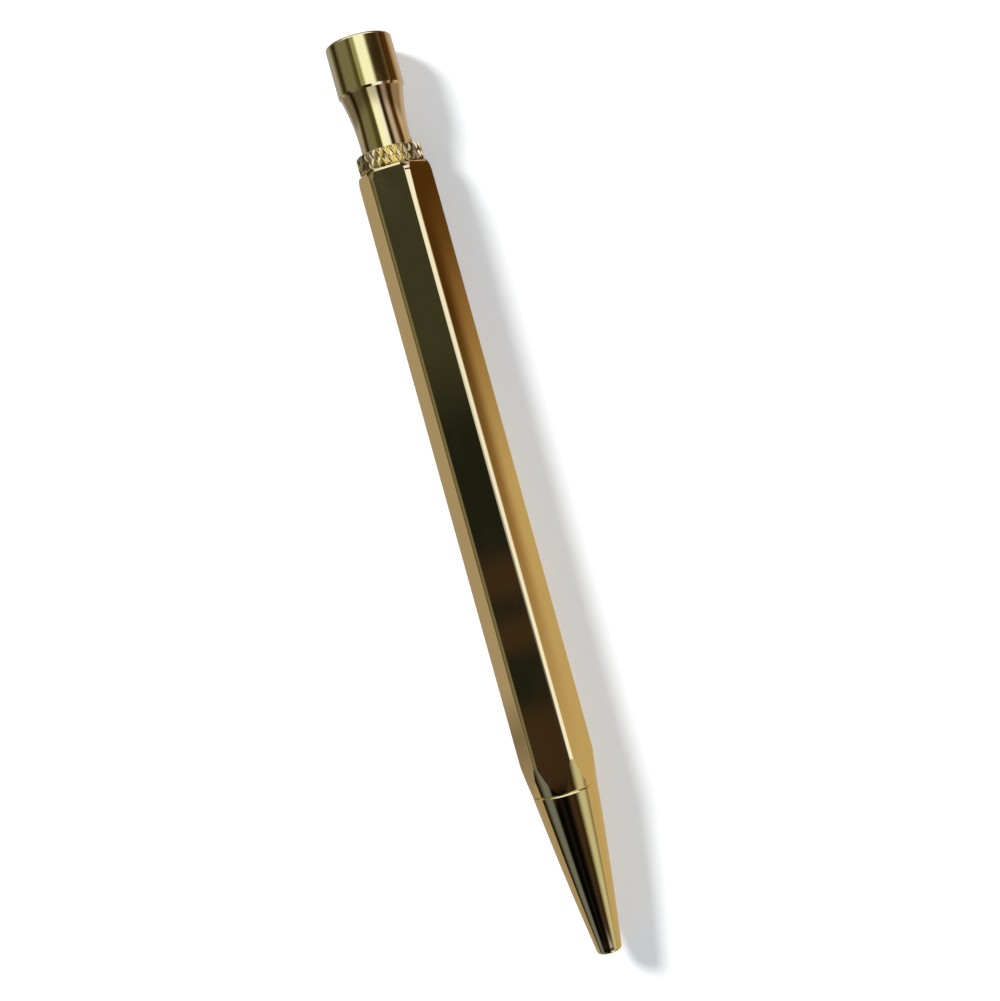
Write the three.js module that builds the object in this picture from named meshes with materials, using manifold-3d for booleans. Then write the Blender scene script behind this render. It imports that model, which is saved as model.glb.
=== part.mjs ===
// Retractable ball pen in polished brass: a six-sided barrel, a turned nose cone, a knurled
// collar and a flared push button over a click mechanism with a turning cam.
// Millimetres. The pen lies on one flat of its barrel, +X towards the writing end, +Z up.
// A station is a distance along the pen's axis, counted from the open end of the nose cone.

import * as THREE from 'three';
import { mergeVertices } from 'three/addons/utils/BufferGeometryUtils.js';
import Module from 'manifold-3d';

// Outside of the pen
const noseLength = 25.2;
const barrelLength = 95.2;
const collarLength = 2.65;
const neckShown = 8.95;
const capLength = 8;

// Barrel
const acrossFlats = 10;
const cornerRadius = 0.95;
const jointDiameter = 9.96;
const taperAngle = 7.6;
const shoulderLength = 1.6;
const shoulderDrop = 0.34;
const slimLength = 7;
const slimDrop = 0.07;
const endBevel = 0.5;
const barrelBore = 7;

// Nose cone
const noseEndDiameter = 3.7;
const noseEndRound = 0.45;
const noseSwell = 0.14;
const noseRimChamfer = 0.15;
const springSeat = 6.5;

// Threaded joint between barrel and nose cone
const insertDepth = 8;
const insertStep = 0.2;
const stubWall = 0.5;
const stubLength = 6;

// Knurled collar
const collarDiameter = 9.9;
const collarChamfer = 0.2;
const spigotWall = 0.4;
const knurlDepth = 0.3;
const knurlCut = 0.16;
const knurlCount = 28;
const knurlRows = 1;

// Push button
const capDiameter = 10;
const capEdgeRound = 0.4;
const rimBevel = 0.2;
const neckDiameter = 7.65;
const neckTopDiameter = 9.5;
const neckStraight = 1.5;
const neckHidden = 1.6;
const buttonBoreDepth = 7;

// Click mechanism
const travel = 5.5;
const guideWall = 0.5;
const flangeThickness = 0.8;
const slotCount = 4;
const slotDiameter = 6.9;
const slotWidth = 1.7;
const ribHeight = 0.5;
const slotCover = 3.5;
const pushKeyLength = 3;
const stemDiameter = 4.6;
const pilotDiameter = 2.2;
const pilotLength = 3;
const toothHeight = 1;
const keyToCrown = 0.6;
const splineLength = 3.5;
const splineToCrown = 0.9;
const rotorNoseLength = 2.55;
const rotorNoseDiameter = 5;
const skirtMargin = 0.9;

// Refill
const retraction = 1.8;
const refillDiameter = 5.9;
const refillWall = 0.4;
const ballDiameter = 1;
const pointConeLength = 2.6;
const pointDiameter = 2.3;
const pointLength = 11;
const pointChannel = 0.5;
const socketLip = 0.15;
const feedWall = 0.25;
const feedLength = 7.5;
const feedFlangeLength = 2.5;
const spigotLength = 3;
const inkChannel = 1;
const tubeFrontLength = 0.7;
const capPlugLength = 4;
const capHeadLength = 2;
const capNotches = 6;
const capNotchWidth = 0.9;
const inkAir = 9;

// Return spring
const wireDiameter = 0.4;
const springTurns = 9;

// Clearances
const fit = 0.05;
const running = 0.15;
const seat = 0.1;
const stop = 0.3;
const neckSlack = 0.175;
const refillSlack = 0.25;
const springSlack = 0.25;
const boreSlack = 0.2;

// Diameters that follow from what goes inside
const tipHole = pointDiameter + 2 * running;
const feedDiameter = pointDiameter + 2 * feedWall;
const springDiameter = feedDiameter + 2 * (springSlack + wireDiameter);
const springBore = springDiameter + 2 * boreSlack;
const refillBore = refillDiameter + 2 * refillSlack;
const stubDiameter = refillBore + 2 * stubWall;
const insertDiameter = stubDiameter + 2 * insertStep;
const ribBore = slotDiameter - 2 * ribHeight;
const guideDiameter = slotDiameter + 2 * guideWall;
const collarBore = neckDiameter + 2 * neckSlack;
const spigotDiameter = collarBore + 2 * spigotWall;
const keyWidth = slotWidth - 2 * running;
const keyDiameter = slotDiameter - 2 * running;

// Facets
const roundSides = 48;
const barrelSides = 72;
const innerSides = 32;
const pointSides = 24;
const arcSteps = 8;
const cornerSteps = 2;
const stepsPerTurn = 8;
const wireSides = 5;

// Stations that follow from the sizes
const noseTop = noseLength;
const barrelTop = noseTop + barrelLength;
const collarTop = barrelTop + collarLength;
const neckTop = collarTop + neckShown;
const capTop = neckTop + capLength;
const neckBottom = collarTop - neckHidden;
const flangeTop = neckBottom - travel - stop;
const flangeBottom = flangeTop - flangeThickness;
const slotTop = flangeBottom - slotCover;
const pushKeyTop = slotTop - stop;
const pushKeyBottom = pushKeyTop - pushKeyLength;
const crownLine = pushKeyBottom - keyToCrown;
const splineTop = crownLine - toothHeight / 2 - splineToCrown;
const splineBottom = splineTop - splineLength;
const ribEnd = splineTop - travel + stop;
const guideBottom = splineBottom - travel - skirtMargin;
const rotorFront = splineBottom - rotorNoseLength;
const refillRear = rotorFront - seat;
const refillLength = refillRear - retraction;
const stemTop = neckBottom + buttonBoreDepth - seat;
const feedStart = pointLength;
const tubeStart = feedStart + feedLength;
const tubeEnd = refillLength - capHeadLength;
const springStart = springSeat + seat;
const springEnd = retraction + tubeStart - seat;

const toRadians = Math.PI / 180;
const cornerCentre = (acrossFlats / 2 - cornerRadius) / Math.cos(Math.PI / 6);
const cornerReach = cornerCentre + cornerRadius;
const flareStart = collarTop + neckStraight;
const flareRise = (neckTopDiameter - neckDiameter) / 2;
const pressedShare = Math.max(travel - neckStraight, 0) / (neckTop - flareStart);
const collarMouth = neckDiameter + 2 * (flareRise * pressedShare ** 2 + fit);

const wasm = await Module();
wasm.setup();

// A closed geometry as a solid: shared corners merged, slivers at the poles left out.
function solidOf(geometry) {
  const bare = geometry.clone();
  bare.deleteAttribute('normal');
  bare.deleteAttribute('uv');
  const merged = mergeVertices(bare);
  const corners = merged.index.array;
  const kept = [];
  for (let i = 0; i < corners.length; i += 3) {
    const [a, b, c] = [corners[i], corners[i + 1], corners[i + 2]];
    if (a !== b && b !== c && c !== a) kept.push(a, b, c);
  }
  const mesh = new wasm.Mesh({
    numProp: 3,
    vertProperties: new Float32Array(merged.attributes.position.array),
    triVerts: new Uint32Array(kept),
  });
  return new wasm.Manifold(mesh);
}

function geometryOf(solid) {
  const mesh = solid.getMesh();
  const geometry = new THREE.BufferGeometry();
  geometry.setAttribute('position', new THREE.BufferAttribute(mesh.vertProperties, 3));
  geometry.setIndex(new THREE.BufferAttribute(mesh.triVerts, 1));
  geometry.computeVertexNormals();
  return geometry;
}

// A piece turned about the pen's axis. The outline is a list of [station, radius], walked
// towards the button along the outside; it ends on the axis or comes back to its start.
function turned(outline, sides = roundSides) {
  const points = outline.map(([station, radius]) => new THREE.Vector2(radius, station));
  if (outline[0][1] > 0) points.push(points[0].clone());
  const geometry = new THREE.LatheGeometry(points, sides);
  geometry.rotateZ(Math.PI / 2);
  return solidOf(geometry);
}

function cylinder(from, to, diameter, sides = innerSides) {
  const radius = diameter / 2;
  return turned([[from, 0], [from, radius], [to, radius], [to, 0]], sides);
}

function tube(from, to, outer, inner, sides = innerSides) {
  const [far, near] = [outer / 2, inner / 2];
  return turned([[from, near], [from, far], [to, far], [to, near]], sides);
}

// Points [station, radius] of a quarter of an ellipse, from its level end to its steep end.
function quarterRound(centreStation, centreRadius, length, height, steps = arcSteps) {
  const points = [];
  for (let i = 0; i <= steps; i++) {
    const angle = (i / steps) * Math.PI / 2;
    points.push([centreStation + length * Math.sin(angle), centreRadius + height * Math.cos(angle)]);
  }
  return points;
}

// Points of a shallow curve that leaves its start level and bends by a square law.
function levelCurve(startStation, startRadius, length, rise, steps = arcSteps) {
  const points = [];
  for (let i = 0; i <= steps; i++) {
    const share = i / steps;
    points.push([startStation + length * share, startRadius + rise * share * share]);
  }
  return points;
}

// Bars that run along the axis and reach out to a diameter, evenly spaced round it.
function keys(count, from, to, width, diameter) {
  const reach = diameter / 2;
  let bars = null;
  for (let i = 0; i < count; i++) {
    const bar = new THREE.BoxGeometry(to - from, width, reach + 1);
    bar.translate(-(from + to) / 2, 0, (reach + 1) / 2);
    bar.rotateX((i * 2 * Math.PI) / count);
    bars = bars ? bars.add(solidOf(bar)) : solidOf(bar);
  }
  return bars.intersect(cylinder(from - 1, to + 1, diameter));
}

// Prisms that run out along a radius, their outline given as [station, across].
function radialPrisms(count, outline, reach, firstAngle) {
  const shape = new THREE.Shape(outline.map(([station, across]) => new THREE.Vector2(-station, across)));
  let prisms = null;
  for (let i = 0; i < count; i++) {
    const prism = new THREE.ExtrudeGeometry(shape, { depth: reach, bevelEnabled: false });
    prism.rotateX(firstAngle + (i * 2 * Math.PI) / count);
    prisms = prisms ? prisms.add(solidOf(prism)) : solidOf(prism);
  }
  return prisms;
}

// V-shaped gaps of a crown of teeth, open towards the given side of their root line.
function crownGaps(rootStation, openStation, radius, firstAngle) {
  const count = 2 * slotCount;
  const halfWidth = radius * Math.sin(Math.PI / count);
  const past = 2 * openStation - rootStation;
  const outline = [[rootStation, 0], [past, halfWidth * 2], [past, -halfWidth * 2]];
  return radialPrisms(count, outline, radius + 1, firstAngle);
}

function roundedHexagon() {
  const shape = new THREE.Shape();
  for (let i = 0; i < 6; i++) {
    const middle = Math.PI / 6 + (i * Math.PI) / 3;
    const x = cornerCentre * Math.cos(middle);
    const y = cornerCentre * Math.sin(middle);
    shape.absarc(x, y, cornerRadius, middle - Math.PI / 6, middle + Math.PI / 6, false);
  }
  return shape;
}

// Six-sided bar whose far end has its edge rolled over.
function hexagonBar(from, to) {
  const geometry = new THREE.ExtrudeGeometry(roundedHexagon(), {
    depth: to - from - 2 * endBevel,
    curveSegments: cornerSteps,
    bevelThickness: endBevel,
    bevelSize: endBevel,
    bevelOffset: -endBevel,
    bevelSegments: 3,
  });
  geometry.translate(0, 0, from + endBevel);
  geometry.rotateY(-Math.PI / 2);
  return solidOf(geometry);
}

// The lathe work on the six-sided bar: a cone that runs on into the nose, a slight slimming
// towards the button and a rounded shoulder, all of which only reach the corners.
function barrelEnvelope() {
  const jointRadius = jointDiameter / 2;
  const clear = cornerReach + 1;
  const coneLength = (clear - jointRadius) / Math.tan(taperAngle * toRadians);
  const shoulderStart = barrelTop - shoulderLength;
  const slimStart = shoulderStart - slimLength;
  const shoulderRadius = cornerReach - slimDrop;
  return turned([
    [noseTop, 0],
    [noseTop, jointRadius],
    [noseTop + coneLength, clear],
    [slimStart, clear],
    [slimStart, cornerReach],
    ...levelCurve(shoulderStart, shoulderRadius, shoulderLength, -shoulderDrop, 5),
    [barrelTop, 0],
  ], barrelSides);
}

function makeBarrel() {
  const bored = turned([
    [noseTop - 1, 0],
    [noseTop - 1, insertDiameter / 2 + fit],
    [noseTop + insertDepth + fit, insertDiameter / 2 + fit],
    [noseTop + insertDepth + fit, barrelBore / 2],
    [guideBottom - seat, barrelBore / 2],
    [guideBottom - seat, guideDiameter / 2 + fit],
    [flangeBottom - fit, guideDiameter / 2 + fit],
    [flangeBottom - fit, spigotDiameter / 2 + fit],
    [barrelTop + 1, spigotDiameter / 2 + fit],
    [barrelTop + 1, 0],
  ], innerSides);
  const bar = hexagonBar(noseTop - 4 * endBevel, barrelTop);
  return bar.intersect(barrelEnvelope()).subtract(bored);
}

// Radius of the nose cone at a station: a straight cone with a slight swell in its middle.
function noseRadius(station) {
  const share = station / noseLength;
  const ends = THREE.MathUtils.lerp(noseEndDiameter, jointDiameter, share) / 2;
  return ends + 4 * noseSwell * share * (1 - share);
}

function makeNoseCone() {
  const outside = [];
  const last = noseLength - noseRimChamfer;
  for (let i = 0; i <= arcSteps; i++) {
    const station = THREE.MathUtils.lerp(noseEndRound, last, i / arcSteps);
    outside.push([station, noseRadius(station)]);
  }
  const roundHeight = noseRadius(noseEndRound) - noseEndRound;
  const end = quarterRound(noseEndRound, roundHeight, -noseEndRound, noseEndRound, 4).reverse();
  const boreStart = springEnd - travel - stop;
  const threadStart = noseTop - stubLength - stop;
  const coneLength = (refillBore - springBore) / 2;
  return turned([
    [0, tipHole / 2],
    ...end.slice(0, -1),
    ...outside,
    [noseLength, noseRadius(last) - noseRimChamfer],
    [noseLength, stubDiameter / 2 + fit],
    [threadStart, stubDiameter / 2 + fit],
    [threadStart, refillBore / 2],
    [boreStart, refillBore / 2],
    [boreStart - coneLength, springBore / 2],
    [springSeat, springBore / 2],
    [springSeat, tipHole / 2],
  ]);
}

function makeFrontInsert() {
  const seatFace = noseTop + insertDepth;
  return turned([
    [noseTop - stubLength, refillBore / 2],
    [noseTop - stubLength, stubDiameter / 2 - stop],
    [noseTop - stubLength + stop, stubDiameter / 2],
    [noseTop + fit, stubDiameter / 2],
    [noseTop + fit, insertDiameter / 2],
    [seatFace, insertDiameter / 2],
    [seatFace, refillBore / 2],
  ], innerSides);
}

// Diamonds between two crossing sets of grooves: on a grid of half pitches, every other point
// is the tip of a diamond and the points between are the crossings of the grooves. The tips
// stand proud by what the collar's own diameter cuts off them.
function knurledBlank(from, to) {
  const columns = 2 * knurlCount;
  const rows = 2 * knurlRows;
  const positions = [-from, 0, 0, -to, 0, 0];
  const tip = collarDiameter / 2 + knurlCut;
  const crossing = collarDiameter / 2 - knurlDepth;
  for (let row = 0; row <= rows; row++) {
    for (let column = 0; column < columns; column++) {
      const radius = (row + column) % 2 ? tip : crossing;
      const angle = (column * 2 * Math.PI) / columns;
      positions.push(-THREE.MathUtils.lerp(from, to, row / rows));
      positions.push(radius * Math.sin(angle), radius * Math.cos(angle));
    }
  }
  const at = (row, column) => 2 + row * columns + (column % columns);
  const faces = [];
  for (let column = 0; column < columns; column++) {
    faces.push(0, at(0, column + 1), at(0, column));
    faces.push(1, at(rows, column), at(rows, column + 1));
    for (let row = 0; row < rows; row++) {
      const [a, b] = [at(row, column), at(row, column + 1)];
      const [c, d] = [at(row + 1, column), at(row + 1, column + 1)];
      if ((row + column) % 2) faces.push(a, b, c, b, d, c);
      else faces.push(a, b, d, a, d, c);
    }
  }
  const geometry = new THREE.BufferGeometry();
  geometry.setAttribute('position', new THREE.Float32BufferAttribute(positions, 3));
  geometry.setIndex(faces);
  return solidOf(geometry);
}

function makeKnurledCollar() {
  const from = barrelTop + fit;
  const edge = collarDiameter / 2;
  const chamfered = turned([
    [from, 0],
    [from, edge - collarChamfer],
    [from + collarChamfer, edge],
    [collarTop - collarChamfer, edge],
    [collarTop, edge - collarChamfer],
    [collarTop, 0],
  ], 2 * knurlCount);
  const spigotEnd = flangeTop + fit;
  const spigot = cylinder(spigotEnd, from + seat, spigotDiameter);
  const bored = turned([
    [spigotEnd - 1, 0],
    [spigotEnd - 1, collarBore / 2],
    [from, collarBore / 2],
    [from, collarMouth / 2],
    [collarTop + 1, collarMouth / 2],
    [collarTop + 1, 0],
  ], innerSides);
  return knurledBlank(from, collarTop).intersect(chamfered).add(spigot).subtract(bored);
}

function makePushButton() {
  const capRadius = capDiameter / 2;
  const boreRadius = stemDiameter / 2 + fit;
  const boreEnd = neckBottom + buttonBoreDepth;
  const edge = quarterRound(capTop - capEdgeRound, capRadius - capEdgeRound, capEdgeRound, capEdgeRound, 4);
  return turned([
    [boreEnd, 0],
    [boreEnd, boreRadius],
    [neckBottom, boreRadius],
    [neckBottom, neckDiameter / 2 - stop],
    [neckBottom + stop, neckDiameter / 2],
    ...levelCurve(flareStart, neckDiameter / 2, neckTop - flareStart, flareRise),
    [neckTop, capRadius - rimBevel],
    [neckTop + rimBevel, capRadius],
    ...edge,
    [capTop, 0],
  ]);
}

// Housing of the mechanism: ribs stand in its bore with slots between them, and the ribs end
// in slopes on which the turning cam comes to rest.
function makeCamGuide() {
  const outer = guideDiameter / 2;
  const blank = turned([
    [guideBottom, slotDiameter / 2],
    [guideBottom, outer],
    [flangeBottom, outer],
    [flangeBottom, spigotDiameter / 2],
    [flangeTop, spigotDiameter / 2],
    [flangeTop, ribBore / 2],
    [ribEnd, ribBore / 2],
    [ribEnd, slotDiameter / 2],
  ], innerSides);
  const slots = keys(slotCount, ribEnd - 1, slotTop, slotWidth, slotDiameter);
  const halfPitch = (ribBore / 2) * Math.sin(Math.PI / slotCount);
  const mouth = ribEnd - stop;
  const slope = [[mouth, -halfPitch], [mouth, halfPitch], [ribEnd + toothHeight, halfPitch]];
  const betweenSlots = Math.PI / slotCount;
  const slopes = radialPrisms(slotCount, slope, slotDiameter / 2, betweenSlots);
  const inBore = cylinder(ribEnd - 1, slotTop, slotDiameter);
  return blank.subtract(slots).subtract(slopes.intersect(inBore));
}

function makePushCam() {
  const crownRadius = ribBore / 2 - running;
  const front = crownLine - toothHeight / 2;
  const root = crownLine + toothHeight / 2;
  const body = cylinder(front, flangeTop - stop, 2 * crownRadius);
  const stem = cylinder(flangeTop - 1, stemTop, stemDiameter);
  const pilot = cylinder(front - pilotLength, front + 1, pilotDiameter);
  const guided = keys(slotCount, pushKeyBottom, pushKeyTop, keyWidth, keyDiameter);
  const gaps = crownGaps(root, front, crownRadius, 0);
  return body.subtract(gaps).add(guided).add(stem).add(pilot);
}

// The turning cam: its crown meets the push cam's, its splines ride in the guide's slots.
function makeRotorCam() {
  const crownRadius = ribBore / 2 - running;
  const top = crownLine + toothHeight / 2 - running;
  const root = crownLine - toothHeight / 2 - running;
  const halfTooth = Math.PI / (2 * slotCount);
  const gaps = crownGaps(root, top, crownRadius, halfTooth);
  const body = cylinder(splineBottom, top, 2 * crownRadius).subtract(gaps);
  const nose = cylinder(rotorFront, splineBottom + 1, rotorNoseDiameter);
  const splines = keys(slotCount, splineBottom, splineTop, keyWidth, keyDiameter);
  const past = splineTop + 1;
  const slope = [
    [splineTop, -keyWidth], [past, -keyWidth], [past, keyWidth], [splineTop - keyWidth, keyWidth],
  ];
  const slopes = radialPrisms(slotCount, slope, slotDiameter, 0);
  const ring = tube(splineBottom, splineTop + 2, slotDiameter + 1, 2 * crownRadius);
  const pilotEnd = crownLine - toothHeight / 2 - pilotLength - stop;
  const pilotBore = cylinder(pilotEnd, top + 1, pilotDiameter + 2 * running);
  return body.add(splines.subtract(slopes.intersect(ring))).add(nose).subtract(pilotBore);
}

function makeWritingBall() {
  const radius = ballDiameter / 2;
  const geometry = new THREE.SphereGeometry(radius, 16, 12);
  geometry.translate(-radius, 0, 0);
  return solidOf(geometry);
}

// Metal point with the ball's socket, its lip just past the ball's middle.
function makeWritingPoint() {
  const ballRadius = ballDiameter / 2;
  const cup = ballRadius + fit;
  const channel = pointChannel / 2;
  const lipRadius = Math.sqrt(cup * cup - socketLip * socketLip);
  const spigotStart = pointLength - spigotLength;
  const spigotRadius = pointDiameter / 2 - refillWall;
  const socket = [];
  const steepest = Math.asin(channel / cup);
  for (let i = 0; i <= 4; i++) {
    const angle = THREE.MathUtils.lerp(steepest, Math.PI / 2, i / 4);
    socket.push([ballRadius + cup * Math.cos(angle), cup * Math.sin(angle)]);
  }
  return turned([
    [ballRadius - socketLip, lipRadius],
    [ballRadius - socketLip, lipRadius + fit],
    [pointConeLength, pointDiameter / 2],
    [spigotStart, pointDiameter / 2],
    [spigotStart, spigotRadius],
    [pointLength, spigotRadius],
    [pointLength, channel],
    ...socket,
  ], pointSides);
}

// Neck that carries the point and plugs the front of the refill tube.
function makeFeedNeck() {
  const front = pointLength - spigotLength + fit;
  const socket = pointDiameter / 2 - refillWall + fit / 2;
  const inTube = refillDiameter / 2 - refillWall - fit;
  const flangeStart = tubeStart + tubeFrontLength + fit;
  return turned([
    [front, socket],
    [front, pointDiameter / 2],
    [feedStart, pointDiameter / 2],
    [feedStart, feedDiameter / 2],
    [flangeStart, feedDiameter / 2],
    [flangeStart, inTube],
    [flangeStart + feedFlangeLength, inTube],
    [flangeStart + feedFlangeLength, inkChannel / 2],
    [pointLength + fit, inkChannel / 2],
    [pointLength + fit, socket],
  ], pointSides);
}

function makeRefillTube() {
  const outer = refillDiameter / 2;
  const inner = outer - refillWall;
  const hole = feedDiameter / 2 + fit;
  return turned([
    [tubeStart, hole],
    [tubeStart, outer - tubeFrontLength],
    [tubeStart + tubeFrontLength, outer],
    [tubeEnd, outer],
    [tubeEnd, inner],
    [tubeStart + tubeFrontLength, inner],
    [tubeStart + tubeFrontLength, hole],
  ], innerSides);
}

function makeInkColumn() {
  const flangeEnd = tubeStart + tubeFrontLength + feedFlangeLength + 2 * fit;
  const end = tubeEnd - capPlugLength - inkAir;
  return cylinder(flangeEnd + fit, end, refillDiameter - 2 * refillWall - 2 * fit);
}

// Plug in the rear of the refill tube, its head notched like a castle wall.
function makeRefillEndCap() {
  const plug = cylinder(tubeEnd - capPlugLength, tubeEnd + 1, refillDiameter - 2 * refillWall - 2 * fit);
  const head = tube(tubeEnd + fit, refillLength, refillDiameter, inkChannel);
  const notchFloor = refillLength - capHeadLength / 2;
  const notches = keys(capNotches, notchFloor, refillLength + 1, capNotchWidth, refillDiameter + 1);
  const vent = cylinder(tubeEnd - capPlugLength - 1, refillLength + 1, inkChannel);
  return head.add(plug).subtract(notches).subtract(vent);
}

// Middle line of the spring's wire, with a short straight run at each end.
class SpringLine extends THREE.Curve {
  constructor() {
    super();
    this.radius = (springDiameter - wireDiameter) / 2;
    this.start = springStart + wireDiameter;
    this.rise = springEnd - springStart - 2 * wireDiameter;
    this.turnLength = 2 * Math.PI * this.radius * springTurns;
    this.tail = wireDiameter / this.turnLength;
  }

  onHelix(share) {
    const angle = share * springTurns * 2 * Math.PI;
    const station = this.start + this.rise * share;
    return new THREE.Vector3(-station, this.radius * Math.sin(angle), this.radius * Math.cos(angle));
  }

  getPoint(t, target = new THREE.Vector3()) {
    const share = t * (1 + 2 * this.tail) - this.tail;
    const onto = THREE.MathUtils.clamp(share, 0, 1);
    const past = (share - onto) * this.turnLength;
    const angle = onto * springTurns * 2 * Math.PI;
    const tangent = new THREE.Vector3(0, Math.cos(angle), -Math.sin(angle));
    return target.copy(this.onHelix(onto)).addScaledVector(tangent, past);
  }
}

function leastGapOfSpring(line) {
  const samples = springTurns * 36;
  const points = [];
  for (let i = 0; i <= samples; i++) points.push(line.onHelix(i / samples));
  let least = Infinity;
  for (let i = 0; i <= samples; i++) {
    for (let j = i + 18; j <= samples; j++) least = Math.min(least, points[i].distanceTo(points[j]));
  }
  return least - wireDiameter;
}

function makeReturnSpring() {
  const line = new SpringLine();
  console.log(`return spring: least gap to itself ${leastGapOfSpring(line).toFixed(2)} mm`);
  const section = new THREE.Shape();
  for (let i = 0; i < wireSides; i++) {
    const angle = (i * 2 * Math.PI) / wireSides;
    const [x, y] = [Math.cos(angle), Math.sin(angle)].map((part) => (part * wireDiameter) / 2);
    if (i === 0) section.moveTo(x, y);
    else section.lineTo(x, y);
  }
  const geometry = new THREE.ExtrudeGeometry(section, {
    steps: springTurns * stepsPerTurn + 2,
    extrudePath: line,
  });
  return solidOf(geometry);
}

const polishedBrass = { color: 0xc9a75c, roughness: 0.12, metalness: 1 };
const machinedBrass = { color: 0xbb9a58, roughness: 0.35, metalness: 1 };
const blackAcetal = { color: 0x1c1c1e, roughness: 0.5, metalness: 0 };
const paleAcetal = { color: 0xd8d5cb, roughness: 0.5, metalness: 0 };
const springSteel = { color: 0xb8babd, roughness: 0.3, metalness: 1 };
const refillSteel = { color: 0xc2c3c4, roughness: 0.28, metalness: 1 };
const blueInk = { color: 0x14204a, roughness: 0.2, metalness: 0 };

function piece(name, solid, finish) {
  const mesh = new THREE.Mesh(geometryOf(solid), new THREE.MeshStandardMaterial(finish));
  mesh.name = name;
  return mesh;
}

// The refill is drawn from its own writing end and set back by its retraction.
function makeRefill() {
  const refill = new THREE.Group();
  refill.add(
    piece('writing_ball', makeWritingBall(), springSteel),
    piece('writing_point', makeWritingPoint(), refillSteel),
    piece('feed_neck', makeFeedNeck(), machinedBrass),
    piece('refill_tube', makeRefillTube(), refillSteel),
    piece('ink_column', makeInkColumn(), blueInk),
    piece('refill_end_cap', makeRefillEndCap(), paleAcetal),
  );
  refill.position.x = -retraction;
  return refill;
}

const pen = new THREE.Group();
pen.add(
  piece('barrel', makeBarrel(), polishedBrass),
  piece('nose_cone', makeNoseCone(), polishedBrass),
  piece('front_insert', makeFrontInsert(), machinedBrass),
  piece('knurled_collar', makeKnurledCollar(), polishedBrass),
  piece('push_button', makePushButton(), polishedBrass),
  piece('cam_guide', makeCamGuide(), paleAcetal),
  piece('push_cam', makePushCam(), blackAcetal),
  piece('rotor_cam', makeRotorCam(), blackAcetal),
  piece('return_spring', makeReturnSpring(), springSteel),
  makeRefill(),
);
pen.position.set(capTop / 2, 0, acrossFlats / 2);

export default pen;
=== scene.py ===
"""Polished brass retractable pen with a six-sided barrel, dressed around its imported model.

Lengths along the pen are stations in millimetres from the nose's open end towards the button.
Every mesh is in metres, in the model's own frame: +X towards the writing end, +Z up.
"""

import logging
import math
from collections.abc import Callable, Sequence
from dataclasses import dataclass
from enum import Enum
from itertools import pairwise

import bpy
from mathutils import Matrix, Vector


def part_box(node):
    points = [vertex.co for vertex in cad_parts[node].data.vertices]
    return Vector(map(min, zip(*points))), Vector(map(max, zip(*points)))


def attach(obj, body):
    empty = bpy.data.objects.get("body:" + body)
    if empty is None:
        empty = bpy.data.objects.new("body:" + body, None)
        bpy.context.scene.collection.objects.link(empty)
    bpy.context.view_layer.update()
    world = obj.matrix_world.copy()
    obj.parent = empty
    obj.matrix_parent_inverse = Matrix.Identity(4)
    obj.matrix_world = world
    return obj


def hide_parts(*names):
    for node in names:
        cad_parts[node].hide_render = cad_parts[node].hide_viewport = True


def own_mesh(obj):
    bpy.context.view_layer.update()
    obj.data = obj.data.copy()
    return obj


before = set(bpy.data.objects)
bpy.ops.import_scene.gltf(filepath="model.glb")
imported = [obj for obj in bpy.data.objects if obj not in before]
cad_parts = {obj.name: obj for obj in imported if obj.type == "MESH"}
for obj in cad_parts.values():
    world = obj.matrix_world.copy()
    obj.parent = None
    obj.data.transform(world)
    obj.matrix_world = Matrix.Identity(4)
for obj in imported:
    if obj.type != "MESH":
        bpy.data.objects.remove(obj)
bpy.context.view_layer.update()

log = logging.getLogger("pen")

MM = 0.001
AXIS_HEIGHT = 5.0
PEN_LENGTH = 140.0

TURNED_SIDES = 144
BORE_SIDES = 96
ROUND_STEPS = 8
TURNED_EDGE = 20
MERGE_DISTANCE = 1e-7
SAME_PLACE = 1e-6
ALONG_THE_PEN = (0, math.pi / 2, 0)
HALF_CORNER_TURN = math.radians(30)

Span = tuple[float, float]
Outline = Sequence[Span]
Triple = tuple[float, float, float]
Socket = bpy.types.NodeSocket
Inputs = dict[str | int, Socket | float | Sequence[float]]


class Grain(Enum):
    """How often the fine marks of a metal change per metre along X, Y and Z."""

    ALONG = (220, 9000, 9000)
    ROUND = (16000, 500, 500)


class CutMode(Enum):
    """What a cutting shape leaves of a piece."""

    KEEP_INSIDE = "INTERSECT"
    TAKE_AWAY = "DIFFERENCE"
    ADD = "UNION"


def place_of(station: float) -> float:
    """Return the X in metres of a station in millimetres."""
    return (PEN_LENGTH / 2 - station) * MM


def axis_point(station: float) -> Vector:
    """Return the point of the pen's axis at a station."""
    return Vector((place_of(station), 0.0, AXIS_HEIGHT * MM))


# Modelling by hand


def clear_selection() -> None:
    """Deselect every object, so that an operator acts on one piece."""
    if bpy.context.mode != "OBJECT":
        bpy.ops.object.mode_set(mode="OBJECT")
    bpy.ops.object.select_all(action="DESELECT")


def take(piece: bpy.types.Object) -> None:
    """Make a piece the only selected and active object."""
    clear_selection()
    piece.select_set(True)
    bpy.context.view_layer.objects.active = piece


def begin(
    name: str, primitive: Callable[..., set[str]], stretch: Triple = (1, 1, 1), **settings: object
) -> bpy.types.Object:
    """Start a piece as a primitive whose place is settled into its mesh.

    Args:
        name: The piece's name.
        primitive: The operator that adds it.
        stretch: How many times it grows along X, Y and Z.
        settings: The operator's settings.

    Returns:
        The mesh object, the only one selected.
    """
    clear_selection()
    primitive(**settings)
    piece = bpy.context.active_object
    piece.name = name
    piece.data.name = name
    piece.scale = stretch
    bpy.ops.object.transform_apply(location=True, rotation=True, scale=True)
    return piece


def edit_all() -> None:
    """Enter edit mode with the whole active piece selected."""
    bpy.ops.object.mode_set(mode="EDIT")
    bpy.ops.mesh.select_all(action="SELECT")


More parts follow.
